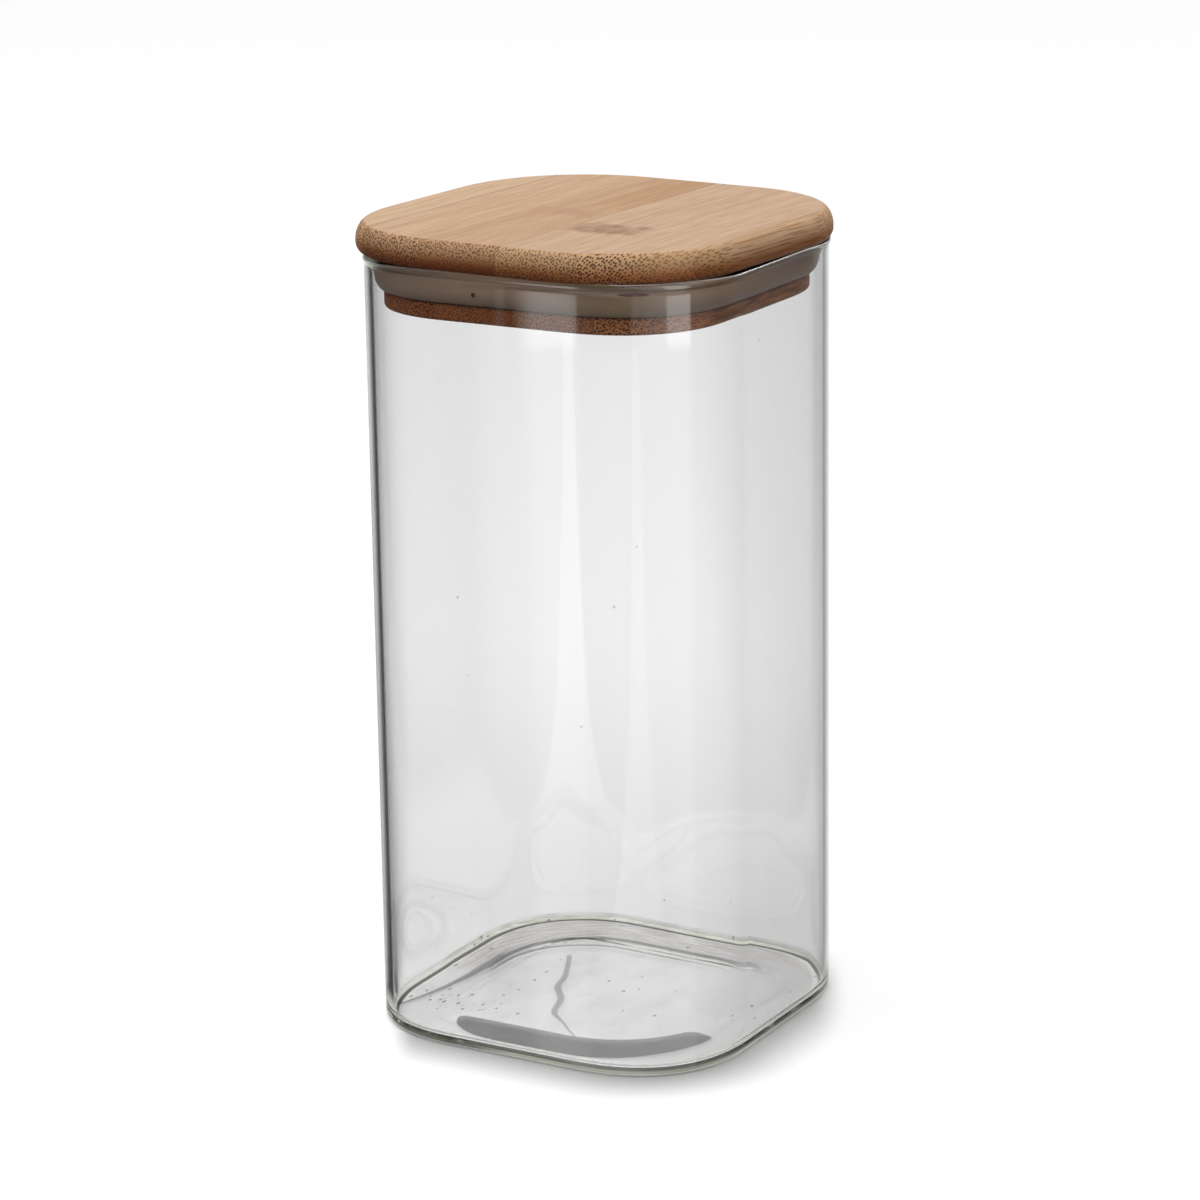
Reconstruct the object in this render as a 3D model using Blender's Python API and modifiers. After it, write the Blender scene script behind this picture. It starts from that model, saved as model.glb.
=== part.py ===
# Square glass storage jar with a bamboo lid.
# The jar is blown in one piece. The lid is a board of glued bamboo strips, milled to a plate
# with a plug under it, and a silicone ring sits in the groove round the plug.
# Metres, +Z up. The origin is the middle of the foot, on the surface that the jar stands on.
# The strips' grain runs close to Y, so the faces at -Y and +Y of the lid show end grain.

import bmesh
import bpy
from math import cos, pi, radians, sin

# Glass
GLASS_WIDTH = 0.1
GLASS_HEIGHT = 0.198
GLASS_WALL = 0.0017
GLASS_FLOOR = 0.0026
# How far along each side a corner's curve runs
GLASS_CORNER = 0.033
HEEL_RADIUS = 0.0022
INNER_HEEL_RADIUS = 0.003
# How far the bead that fire polishing leaves on the rim stands out of the wall
BEAD_PROUD_OUTSIDE = 0.00045
BEAD_PROUD_INSIDE = 0.0001
FOOT_RING_WIDTH = 0.006
PUSH_UP = 0.0006

# Lid board
PLATE_OVERHANG = 0.0026
PLATE_THICKNESS = 0.0072
PLATE_CORNER = 0.0374
PLATE_TOP_ROUND = 0.003
PLATE_UNDER_ROUND = 0.0015
LIP_HEIGHT = 0.0042
LIP_ROUND = 0.001
# From the lip's side to the glass
LIP_CLEARANCE = 0.0032
GROOVE_HEIGHT = 0.0091
GROOVE_DEPTH = 0.003

# Bamboo strips, as shares of the plate's width: what is left of the one at -X, and each whole
# one after it. The last strip, at +X, is the rest.
FIRST_STRIP_SHARE = 0.132
WHOLE_STRIP_SHARE = 0.206
WHOLE_STRIPS = 4
# How far the glue lines are turned from the lid's side, counterclockwise seen from above
GRAIN_TURN = radians(-2.9)

# Seal ring
# Height of the rounded lower part, which draws in to the lip
SEAL_CURVE_HEIGHT = 0.005

# Gaps between pieces that touch on the real object
SEAT_GAP = 0.0003
GLUE_GAP = 0.0003
# How far a cutter runs past what it cuts
OVERRUN = 0.004
# Points closer than this are one point
MERGE_DISTANCE = 0.000003

# Shape numbers: 2 is a plain arc, and more is squarer
GLASS_CORNER_POWER = 2.33
PLATE_CORNER_POWER = 2.11
CORNER_STEPS = 10
ROUND_STEPS = 4
BEAD_STEPS = 2
SEAL_STEPS = 6
# In radians: faces that meet at less than the first are one flat face, and an edge sharper
# than the second shows as an edge
FLAT_ANGLE = 0.001
SHARP_ANGLE = pi / 5

# Places that follow from the sizes
GLASS_HALF = GLASS_WIDTH / 2
BEAD_RADIUS = (GLASS_WALL + BEAD_PROUD_OUTSIDE + BEAD_PROUD_INSIDE) / 2
BEAD_MIDDLE = GLASS_HEIGHT - BEAD_RADIUS
PLATE_LOW = GLASS_HEIGHT + SEAT_GAP
PLATE_HIGH = PLATE_LOW + PLATE_THICKNESS
PLATE_HALF = GLASS_HALF + PLATE_OVERHANG
LIP_HIGH = PLATE_LOW - GROOVE_HEIGHT
LIP_LOW = LIP_HIGH - LIP_HEIGHT
LIP_INSET = GLASS_WALL + LIP_CLEARANCE
NECK_INSET = LIP_INSET + GROOVE_DEPTH
SEAL_OUTER_INSET = GLASS_WALL + BEAD_PROUD_INSIDE + SEAT_GAP
SEAL_INNER_INSET = NECK_INSET - SEAT_GAP

STRIP_COLOURS = [
    (0.56, 0.39, 0.25, 1),
    (0.58, 0.41, 0.26, 1),
    (0.53, 0.36, 0.22, 1),
    (0.57, 0.42, 0.28, 1),
    (0.59, 0.43, 0.28, 1),
    (0.52, 0.35, 0.21, 1),
]


def clear_scene():
    for thing in list(bpy.data.objects):
        bpy.data.objects.remove(thing, do_unlink=True)


def new_collection(name):
    collection = bpy.data.collections.new(name)
    bpy.context.scene.collection.children.link(collection)
    return collection


def material(name, colour, roughness, transmission=0.0, index=1.45):
    finish = bpy.data.materials.new(name)
    finish.use_nodes = True
    shader = finish.node_tree.nodes["Principled BSDF"]
    shader.inputs["Base Color"].default_value = colour
    shader.inputs["Roughness"].default_value = roughness
    shader.inputs["Metallic"].default_value = 0.0
    shader.inputs["Transmission Weight"].default_value = transmission
    shader.inputs["IOR"].default_value = index
    return finish


def rounded_square(half, reach, power, inset=0.0):
    """Points of a square with soft corners, counterclockwise, moved in by inset."""
    points = []
    for corner in range(4):
        turn = corner * pi / 2
        for step in range(CORNER_STEPS + 1):
            angle = step / CORNER_STEPS * pi / 2
            along = max(cos(angle), 0.0)
            across = sin(angle)
            x = half - reach + reach * along ** (2 / power)
            y = half - reach + reach * across ** (2 / power)
            normal_x = along ** (2 - 2 / power)
            normal_y = across ** (2 - 2 / power)
            length = (normal_x ** 2 + normal_y ** 2) ** 0.5
            x -= inset * normal_x / length
            y -= inset * normal_y / length
            points.append((x * cos(turn) - y * sin(turn), x * sin(turn) + y * cos(turn)))
    return points


def glass_outline(inset):
    return rounded_square(GLASS_HALF, GLASS_CORNER, GLASS_CORNER_POWER, inset)


def outline_curve(name, points, collection):
    curve = bpy.data.curves.new(name, "CURVE")
    curve.dimensions = "2D"
    spline = curve.splines.new("POLY")
    spline.points.add(len(points) - 1)
    for place, (x, y) in zip(spline.points, points):
        place.co = (x, y, 0.0, 1.0)
    spline.use_cyclic_u = True
    drawn = bpy.data.objects.new(name, curve)
    collection.objects.link(drawn)
    return drawn


def curve_to_mesh(drawn, collection):
    """Makes a closed mesh of a curve, with each flat end as one face, and removes the curve."""
    bpy.context.view_layer.update()
    evaluated = drawn.evaluated_get(bpy.context.evaluated_depsgraph_get())
    mesh = bpy.data.meshes.new_from_object(evaluated)
    work = bmesh.new()
    work.from_mesh(mesh)
    bmesh.ops.remove_doubles(work, verts=work.verts, dist=MERGE_DISTANCE)
    bmesh.ops.dissolve_limit(work, angle_limit=FLAT_ANGLE, verts=work.verts, edges=work.edges)
    bmesh.ops.recalc_face_normals(work, faces=work.faces)
    work.to_mesh(mesh)
    work.free()
    name = drawn.name
    place = drawn.matrix_world.copy()
    bpy.data.objects.remove(drawn, do_unlink=True)
    piece = bpy.data.objects.new(name, mesh)
    piece.matrix_world = place
    collection.objects.link(piece)
    return piece


def slab(name, points, low, high, collection):
    """A flat outline, extruded from the height low to the height high."""
    drawn = outline_curve(name, points, collection)
    drawn.data.fill_mode = "BOTH"
    drawn.data.extrude = (high - low) / 2
    drawn.location.z = (low + high) / 2
    return curve_to_mesh(drawn, collection)


def round_edges(piece, low_radius, high_radius):
    """Rounds a slab's lower and upper edges, each by its own radius."""
    widest = max(low_radius, high_radius)
    weights = piece.data.attributes.new("bevel_weight_edge", "FLOAT", "EDGE")
    for edge in piece.data.edges:
        heights = [piece.data.vertices[end].co.z for end in edge.vertices]
        if max(heights) < 0:
            weights.data[edge.index].value = low_radius / widest
        elif min(heights) > 0:
            weights.data[edge.index].value = high_radius / widest
    bevel = piece.modifiers.new("round edges", "BEVEL")
    bevel.limit_method = "WEIGHT"
    bevel.width = widest
    bevel.segments = ROUND_STEPS


def join_or_cut(piece, other, operation):
    boolean = piece.modifiers.new(other.name, "BOOLEAN")
    boolean.operation = operation
    boolean.solver = "EXACT"
    boolean.object = other


def hide_tool(tool):
    tool.hide_render = True
    tool.display_type = "WIRE"


def finish_piece(piece, finish):
    piece.data.materials.clear()
    piece.data.materials.append(finish)
    piece.data.shade_smooth()
    piece.data.set_sharp_from_angle(angle=SHARP_ANGLE)


def rim_bead(tools):
    """The fire-polished bead: a round tube along the wall's top edge."""
    bead_inset = BEAD_RADIUS - BEAD_PROUD_OUTSIDE
    bead = outline_curve("rim_bead", glass_outline(bead_inset), tools)
    bead.data.dimensions = "3D"
    bead.data.bevel_depth = BEAD_RADIUS
    bead.data.bevel_resolution = BEAD_STEPS
    bead.location.z = BEAD_MIDDLE
    return curve_to_mesh(bead, tools)


def glass_body(parts, tools):
    glass = slab("glass_body", glass_outline(0.0), 0.0, BEAD_MIDDLE, parts)
    round_edges(glass, HEEL_RADIUS, 0.0)

    inside = slab("glass_inside", glass_outline(GLASS_WALL), GLASS_FLOOR, GLASS_HEIGHT + OVERRUN, tools)
    round_edges(inside, INNER_HEEL_RADIUS, 0.0)
    join_or_cut(glass, inside, "DIFFERENCE")

    join_or_cut(glass, rim_bead(tools), "UNION")

    foot_inset = HEEL_RADIUS + FOOT_RING_WIDTH
    push_up = slab("push_up", glass_outline(foot_inset), -OVERRUN, PUSH_UP, tools)
    join_or_cut(glass, push_up, "DIFFERENCE")

    finish_piece(glass, material("clear_glass", (0.95, 0.97, 0.96, 1), 0.02, 1.0, 1.47))
    return glass


def strip_edges():
    """Where one strip ends and the next one starts, across the grain, lid edges included."""
    glue_shares = [FIRST_STRIP_SHARE + WHOLE_STRIP_SHARE * place for place in range(WHOLE_STRIPS + 1)]
    return [PLATE_HALF * (2 * share - 1) for share in (0.0, *glue_shares, 1.0)]


def strip_space(number, left, right, tools):
    """The box that one strip fills, along the grain and half a glue gap short of its neighbours."""
    start = left - OVERRUN if number == 1 else left + GLUE_GAP / 2
    end = right + OVERRUN if right == PLATE_HALF else right - GLUE_GAP / 2
    low = LIP_LOW - OVERRUN
    high = PLATE_HIGH + OVERRUN
    middle = (start + end) / 2
    place = (middle * cos(GRAIN_TURN), middle * sin(GRAIN_TURN), (low + high) / 2)
    bpy.ops.mesh.primitive_cube_add(size=1, location=place)
    box = bpy.context.active_object
    box.name = f"strip_space_{number}"
    box.rotation_euler.z = GRAIN_TURN
    box.scale = (end - start, 2 * (PLATE_HALF + OVERRUN), high - low)
    bpy.ops.object.transform_apply(location=False, rotation=False, scale=True)
    for home in list(box.users_collection):
        home.objects.unlink(box)
    tools.objects.link(box)
    return box


def lid_strips(parts, tools):
    """The board's strips: each is the whole board's shape, cut to the strip's own space."""
    plate_outline = rounded_square(PLATE_HALF, PLATE_CORNER, PLATE_CORNER_POWER)
    plate = slab("lid_plate", plate_outline, PLATE_LOW, PLATE_HIGH, tools)
    round_edges(plate, PLATE_UNDER_ROUND, PLATE_TOP_ROUND)
    lip = slab("plug_lip", glass_outline(LIP_INSET), LIP_LOW, LIP_HIGH, tools)
    round_edges(lip, LIP_ROUND, 0.0)
    neck_low = (LIP_LOW + LIP_HIGH) / 2
    neck_high = (PLATE_LOW + PLATE_HIGH) / 2
    neck = slab("plug_neck", glass_outline(NECK_INSET), neck_low, neck_high, tools)

    edges = strip_edges()
    strips = []
    for number, (left, right) in enumerate(zip(edges, edges[1:]), start=1):
        strip = plate.copy()
        strip.data = plate.data.copy()
        strip.name = f"lid_strip_{number}"
        parts.objects.link(strip)
        join_or_cut(strip, neck, "UNION")
        join_or_cut(strip, lip, "UNION")
        join_or_cut(strip, strip_space(number, left, right, tools), "INTERSECT")
        colour = STRIP_COLOURS[(number - 1) % len(STRIP_COLOURS)]
        finish_piece(strip, material(f"bamboo_{number}", colour, 0.5))
        strips.append(strip)
    return strips


def seal_section():
    """The seal's section, in distance out from its inner face and height over its foot."""
    low = LIP_HIGH + SEAT_GAP
    height = PLATE_LOW - SEAT_GAP - low
    width = SEAL_INNER_INSET - SEAL_OUTER_INSET
    foot_width = SEAL_INNER_INSET - LIP_INSET
    curve_height = min(SEAL_CURVE_HEIGHT, height)
    points = [(0.0, height), (0.0, 0.0)]
    for step in range(SEAL_STEPS + 1):
        angle = step / SEAL_STEPS * pi / 2
        out = foot_width + (width - foot_width) * sin(angle)
        up = curve_height * (1 - cos(angle))
        points.append((out, up))
    points.append((width, height))
    return points


def seal_ring(parts, tools):
    """The silicone ring: its section, carried along the neck's outline."""
    section = outline_curve("seal_section", seal_section(), tools)
    ring = outline_curve("seal_ring", glass_outline(SEAL_INNER_INSET), parts)
    ring.data.dimensions = "3D"
    ring.data.twist_mode = "Z_UP"
    ring.data.bevel_mode = "OBJECT"
    ring.data.bevel_object = section
    ring.location.z = LIP_HIGH + SEAT_GAP
    seal = curve_to_mesh(ring, parts)
    hide_tool(section)
    finish_piece(seal, material("silicone", (0.62, 0.58, 0.52, 1), 0.45, 0.4, 1.41))
    return seal


def hang_on_joint(name, pieces, collection):
    """Parents the pieces to an empty that stands on their joint's axis."""
    carrier = bpy.data.objects.new(name, None)
    collection.objects.link(carrier)
    for piece in pieces:
        piece.parent = carrier
    return carrier


def main():
    clear_scene()
    parts = new_collection("glass_jar")
    tools = new_collection("cutters")
    glass = glass_body(parts, tools)
    lid = lid_strips(parts, tools)
    lid.append(seal_ring(parts, tools))
    hang_on_joint("lid_carrier", lid, parts)
    hang_on_joint("jar_carrier", [glass], parts)
    for tool in tools.objects:
        hide_tool(tool)


main()
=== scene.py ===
"""Looks of a square glass storage jar with a lid of glued bamboo strips and a silicone ring.

Metres, +Z up. The jar stands on z = 0 with its middle at the origin. The bamboo's grain runs close
to Y, and the lid's plate sits a little askew on the glass.
"""

from math import cos, pi, radians, sin

import bmesh
import bpy
from mathutils import Matrix, Vector


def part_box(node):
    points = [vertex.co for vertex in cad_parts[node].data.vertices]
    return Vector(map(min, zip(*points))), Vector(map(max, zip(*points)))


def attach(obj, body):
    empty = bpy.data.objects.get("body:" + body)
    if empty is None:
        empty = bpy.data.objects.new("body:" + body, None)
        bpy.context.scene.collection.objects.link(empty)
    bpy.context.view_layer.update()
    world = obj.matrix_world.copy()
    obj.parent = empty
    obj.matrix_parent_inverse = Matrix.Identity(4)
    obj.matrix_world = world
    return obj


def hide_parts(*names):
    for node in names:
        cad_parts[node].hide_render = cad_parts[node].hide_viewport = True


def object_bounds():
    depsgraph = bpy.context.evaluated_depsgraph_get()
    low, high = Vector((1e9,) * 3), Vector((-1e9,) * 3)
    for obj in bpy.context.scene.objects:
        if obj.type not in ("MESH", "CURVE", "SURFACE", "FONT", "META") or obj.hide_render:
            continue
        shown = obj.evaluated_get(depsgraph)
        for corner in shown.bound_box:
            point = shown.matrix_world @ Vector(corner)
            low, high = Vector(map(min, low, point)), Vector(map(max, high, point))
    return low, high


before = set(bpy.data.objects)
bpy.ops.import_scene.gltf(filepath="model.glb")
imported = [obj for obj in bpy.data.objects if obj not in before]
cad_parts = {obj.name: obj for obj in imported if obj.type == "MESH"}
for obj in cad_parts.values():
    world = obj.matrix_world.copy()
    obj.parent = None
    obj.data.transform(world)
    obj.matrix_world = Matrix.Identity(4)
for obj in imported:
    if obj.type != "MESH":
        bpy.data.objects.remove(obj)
cad_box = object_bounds()

MM = 0.001

# Glass, with its width and height from the solids
_, GLASS_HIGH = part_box("glass_body")
WALL = 2.05 * MM
FLOOR_THICKNESS = 1.5 * MM
HEEL = 1.8 * MM
INNER_HEEL = 2.2 * MM
FOOT_RING = 6.0 * MM
PUSH_UP = 0.6 * MM
# The slope up to the pushed-up middle: how far past the foot ring it starts and how wide it is.
# The floor inside follows it, past a level edge.
SLOPE_START = 4.0 * MM
DISH_SLOPE = 9.0 * MM
FLOOR_LEVEL = 5.0 * MM
FLOOR_RISE = 0.5 * MM
BEAD_OUT = 0.3 * MM
BEAD_IN = 0.05 * MM
SOLID_BEAD_OUT = 0.45 * MM
GLASS_HALF = GLASS_HIGH.x - SOLID_BEAD_OUT
GLASS_CORNER = 33.0 * MM
# How full a corner is, where 0.5 is round
GLASS_PROFILE = 0.5516
CORNER_STEPS = 36
# The corner that the tones in the glass and the painted shadow round it follow
GLASS_ROUND = 30.0 * MM
# How strongly the painted glow shines, by place, in thick glass where light would gather and come out
RIM_GLOW = 0.12
HEEL_GLOW = 0.05
FRONT_GLOW = 0.13
LINE_GLOW = 0.1

# Lid, with the plate's width and top from the solids
PLATE_LOW = 198.3 * MM
PLATE_HIGH = cad_box[1].z
PLATE_WIDEST = PLATE_LOW + 2.4 * MM
PLATE_HALF = cad_box[1].x
PLATE_CORNER = 37.4 * MM
PLATE_PROFILE = 0.5184
TOP_ROUND = 2.96 * MM
UNDER_ROUND = 1.5 * MM
LIP_LOW = 185.0 * MM
LIP_HIGH = 189.2 * MM
LIP_INSET = 4.9 * MM
LIP_ROUND = 1.0 * MM
LIP_CORNER = 29.0 * MM
NECK_INSET = 8.3 * MM
GLUE_LINE = 0.05 * MM
# How the plate sits on the glass, seen from above
PLATE_TURN = radians(-2.9)
PLATE_SHIFT = (-0.58 * MM, -0.29 * MM)
PLUG_SHIFT = (-0.5 * MM, -0.28 * MM)
SEAL_SHIFT = (-0.2 * MM, -0.11 * MM)

# Glue lines, as shares of the plate's width across the grain, and how far the grain is turned
FIRST_STRIP_SHARE = 0.132
WHOLE_STRIP_SHARE = 0.206
WHOLE_STRIPS = 4
GRAIN_TURN = radians(-2.9)

# Silicone ring
SEAL_LOW, SEAL_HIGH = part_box("seal_ring")
SEAL_OUT = 2.4 * MM
SEAL_IN = 7.6 * MM
SEAL_CURVE = 5.0 * MM
SEAL_CORNER = 31.0 * MM

# The heights between which each tone of the board comes in. Painted shade darkens the plate's
# sides, and more so lower down.
STAINED_ABOVE = (196.0 * MM, 198.0 * MM)
SHADED_BELOW = (203.6 * MM, 199.4 * MM)
DEEPER_SHADE_BELOW = (202.8 * MM, 200.4 * MM)
PLUG_BELOW = (194.0 * MM, 192.0 * MM)

# Round boxes that the painted shade and lines and the streaks on the jar's floor follow, in mm:
# middle across, half width, half depth and corner
CRESCENT_LEFT = (4.6, 35.5, 44.9, 25.0)
CRESCENT_RIGHT = (-5.0, 45.1, 44.9, 31.0)
CRESCENT_INSIDE = (-10.0, 45.3, 33.2, 28.0)
DISH_LINE = (2.0, 38.5, 33.4, 25.0)
THIN_LINE = (2.0, 36.0, 27.4, 22.0)

# Camera, fitted to the jar's outline
LENS = 123.34
CAMERA_DISTANCE = 1.03947
CAMERA_AZIMUTH = radians(29.80)
CAMERA_ELEVATION = radians(15.36)
CAMERA_ROLL = radians(-0.85)
AIM_HEIGHT = 106.27 * MM
AIM_RIGHT = -0.92 * MM

# Studio. The jar stands a hair above the paper, because faces in one plane flicker.
FLOOR_GAP = 0.05 * MM
# How far the painted shadow round the jar is moved towards the camera
SHADOW_SHIFT = 3.0 * MM
# How far the jar's left and right edges lie from its middle, as the camera sees them
EDGE_ASIDE = 57.5 * MM
LIGHT_BOUNCES = 32
# Dark cards, also painted on the paper where the glass mirrors it, the painted shade on the paper
# seen through the glass and the right side of the backdrop, each from a first to a last bearing in
# degrees, with (bearing, brightness) stops
CARD_LEFT = (
    -45.0, 15.0,
    [(-45.0, 0.04), (-34.0, 0.04), (-31.0, 0.14), (-27.0, 0.3), (-21.0, 0.5), (-14.0, 0.84), (-5.0, 1.0)],
)
CARD_RIGHT = (
    -15.0, 45.0,
    [(-15.0, 1.0), (6.0, 1.0), (13.0, 0.95), (20.0, 0.78), (26.0, 0.52), (31.0, 0.3), (45.0, 0.28)],
)
VEIL_LEFT = (
    -48.0, 20.0,
    [
        (-48.0, 1.0), (-39.0, 0.5), (-34.0, 0.2), (-28.0, 0.2), (-20.0, 0.56), (-13.0, 0.74),
        (-9.0, 0.87), (-6.0, 0.94), (-3.5, 1.0),
    ],
)
VEIL_RIGHT = (
    -20.0, 40.0,
    [
        (-20.0, 1.0), (-1.0, 1.0), (2.0, 0.955), (5.0, 0.94), (9.0, 0.92), (15.0, 0.72), (20.0, 0.62),
        (25.0, 0.78), (30.0, 0.95), (34.0, 1.0),
    ],
)
PAPER_RIGHT = (
    0.0, 70.0,
    [(0.0, 1.0), (8.0, 1.0), (24.0, 0.58), (33.0, 0.36), (48.0, 0.3), (56.0, 0.0)],
)
# The lamps' strength by the side that they stand on, in degrees from -Y towards +X, as the upper
# and the lower part of the jar mirror them
LAMPS_HIGH = (
    -40.0, 130.0,
    [
        (-40.0, 3.3), (-24.0, 3.0), (-21.0, 2.4), (-19.0, 0.3), (0.0, 0.08), (30.0, 0.1), (40.0, 1.0),
        (61.0, 1.5), (64.0, 4.2), (88.0, 4.2), (90.0, 0.5), (110.0, 0.25), (125.0, 0.0),
    ],
)
LAMPS_LOW = (
    -40.0, 130.0,
    [
        (-40.0, 1.15), (-21.0, 1.1), (-17.0, 0.55), (-5.0, 0.65), (5.0, 0.8), (60.0, 0.75), (66.0, 1.0),
        (87.0, 0.95), (90.0, 0.3), (110.0, 0.1), (125.0, 0.0),
    ],
)


# Modelling helpers


def pick_only(piece):
    bpy.ops.object.select_all(action="DESELECT")
    piece.select_set(True)
    bpy.context.view_layer.objects.active = piece


def start_outline(name, half, corner, profile, height):
    """A square plate with soft corners, left in edit mode with its face picked."""
    bpy.ops.object.select_all(action="DESELECT")
    bpy.ops.mesh.primitive_plane_add(size=2 * half, location=(0, 0, height))
    bpy.ops.object.transform_apply(location=True, rotation=False, scale=False)
    piece = bpy.context.active_object
    piece.name = name
    bpy.ops.object.mode_set(mode="EDIT")
    bpy.ops.mesh.select_mode(type="VERT")
    bpy.ops.mesh.select_all(action="SELECT")
    bpy.ops.mesh.bevel(offset=corner, segments=CORNER_STEPS, profile=profile, affect="VERTICES")
    bpy.ops.mesh.select_mode(type="FACE")
    bpy.ops.mesh.select_all(action="SELECT")
    return piece


def pick_faces(piece, wanted):
    """In edit mode, leaves picked only the faces for which wanted(face) holds."""
    bpy.ops.mesh.select_all(action="DESELECT")
    work = bmesh.from_edit_mesh(piece.data)
    for face in work.faces:
        if wanted(face):
            face.select_set(True)
    work.select_flush(True)
    bmesh.update_edit_mesh(piece.data)


def pick_cap(piece, upper):
    """Picks the many-sided face at the top or at the bottom of the piece."""
    work = bmesh.from_edit_mesh(piece.data)
    caps = [face for face in work.faces if len(face.verts) > CORNER_STEPS]
    heights = [face.calc_center_median().z for face in caps]
    level = max(heights) if upper else min(heights)
    pick_faces(
        piece,
        lambda face: len(face.verts) > CORNER_STEPS and abs(face.calc_center_median().z - level) < 1e-6,
    )


def thicken(rise):
    """Turns the picked plate into a closed slab."""
    bpy.ops.mesh.extrude_region_move(TRANSFORM_OT_translate={"value": (0, 0, rise)})
    bpy.ops.mesh.select_all(action="SELECT")
    bpy.ops.mesh.normals_make_consistent(inside=False)


def follow(section, half, facing):
    """Carries the picked face along a section of (inset, height) places.

    half is the outline's half width, and facing is 1 for a face that looks up and -1 for one that
    looks down.
    """
    for (old_inset, old_height), (inset, height) in zip(section, section[1:]):
        rise = height - old_height
        if inset - old_inset > 1e-7:
            bpy.ops.mesh.inset(
                thickness=inset - old_inset, depth=facing * rise, use_even_offset=True, use_boundary=True
            )
        else:
            spread = (half - inset) / (half - old_inset)
            bpy.ops.mesh.extrude_region_move(TRANSFORM_OT_translate={"value": (0, 0, rise)})
            bpy.ops.transform.resize(value=(spread, spread, 1), center_override=(0, 0, 0))


def arc(start, end, across, along, steps, first=0.0, last=90.0):
    """Places on part of an ellipse about (across, along), whose half sizes are start and end."""
    places = []
    for step in range(steps + 1):
        angle = radians(first + (last - first) * step / steps)
        places.append((across + start * cos(angle), along + end * sin(angle)))
    return places


def slope(start, low, rise, steps=12):
    """Places on a gentle slope that eases in and out, and a little of the level past it."""
    places = []
    for step in range(steps + 1):
        share = step / steps
        places.append((start + DISH_SLOPE * share, low + rise * share * share * (3 - 2 * share)))
    return places + [(start + DISH_SLOPE + 2.0 * MM, low + rise)]


def finish_shape(piece, angle=32.0):
    """Outward faces and smooth shading with sharp edges; back to object mode."""
    bpy.ops.mesh.select_all(action="SELECT")
    bpy.ops.mesh.normals_make_consistent(inside=False)
    bpy.ops.object.mode_set(mode="OBJECT")
    pick_only(piece)
    bpy.ops.object.shade_smooth_by_angle(angle=radians(angle))
    return piece


def bridge_openings():
    """In edit mode, joins a piece's two open edges by a band of faces."""
    bpy.ops.mesh.select_mode(type="EDGE")
    bpy.ops.mesh.select_all(action="DESELECT")
    bpy.ops.mesh.select_non_manifold()
    bpy.ops.mesh.bridge_edge_loops()
    bpy.ops.mesh.select_mode(type="FACE")


def settle(piece, shift, turn=0.0):
    """Turns and shifts a piece, and leaves its place in its mesh."""
    pick_only(piece)
    piece.rotation_euler.z = turn
    piece.location = (*shift, 0.0)
    bpy.ops.object.transform_apply(location=True, rotation=True, scale=False)


# Material helpers


def new_finish(name):
    finish = bpy.data.materials.new(name)
    finish.use_nodes = True
    tree = finish.node_tree
    return finish, tree, tree.nodes["Principled BSDF"]


def put(tree, kind, inputs=None, **settings):
    """Adds a node. A socket in inputs is linked, and any other value is set on its own socket."""
    node = tree.nodes.new(kind)
    for name, value in settings.items():
        setattr(node, name, value)
    for name, value in (inputs or {}).items():
        set_input(tree, node.inputs[name], value)
    return node


def set_input(tree, socket, value):
    if isinstance(value, bpy.types.NodeSocket):
        tree.links.new(value, socket)
    else:
        socket.default_value = value


def calc(tree, operation, first, second=0.0):
    return put(tree, "ShaderNodeMath", {0: first, 1: second}, operation=operation).outputs[0]


def ease(tree, value, low, high, to_low=0.0, to_high=1.0):
    """A soft step: to_low where value is at low, to_high where it is at high."""
    node = put(
        tree,
        "ShaderNodeMapRange",
        {"Value": value, "From Min": low, "From Max": high, "To Min": to_low, "To Max": to_high},
        interpolation_type="SMOOTHSTEP",
    )
    return node.outputs["Result"]


def several(tree, operation, *values):
    """One operation carried over several values."""
    total = values[0]
    for value in values[1:]:
        total = calc(tree, operation, total, value)
    return total


def times(tree, *values):
    return several(tree, "MULTIPLY", *values)


def plus(tree, *values):
    return several(tree, "ADD", *values)


def minus(tree, first, second):
    return calc(tree, "SUBTRACT", first, second)


def absolute(tree, value):
    return calc(tree, "ABSOLUTE", value)


def square(tree, value):
    return calc(tree, "POWER", value, 2.0)


def between(tree, share, first, second):
    """A number between first and second, by a share from 0 to 1."""
    return put(tree, "ShaderNodeMix", {0: share, 2: first, 3: second}).outputs[0]


def parts_of(tree, vector):
    """The three parts of a place or a direction."""
    return put(tree, "ShaderNodeSeparateXYZ", {0: vector}).outputs


def vector_calc(tree, operation, first, second):
    return put(tree, "ShaderNodeVectorMath", {0: first, 1: second}, operation=operation).outputs[0]


def rounded_join(tree, first, second, radius):
    """Where two edges meet in a round corner: how far a place lies outside both together."""
    first = plus(tree, first, radius)
    second = plus(tree, second, radius)
    out_first = square(tree, calc(tree, "MAXIMUM", first, 0.0))
    out_second = square(tree, calc(tree, "MAXIMUM", second, 0.0))
    corner = calc(tree, "SQRT", plus(tree, out_first, out_second))
    inner = calc(tree, "MINIMUM", calc(tree, "MAXIMUM", first, second), 0.0)
    return minus(tree, plus(tree, corner, inner), radius)


def rounded_box(tree, x, y, half_x, half_y, radius):
    """How far a place lies outside a rectangle with round corners, whose middle is at the origin."""
    over_x = minus(tree, absolute(tree, x), half_x)
    over_y = minus(tree, absolute(tree, y), half_y)
    return rounded_join(tree, over_x, over_y, radius)


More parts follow.
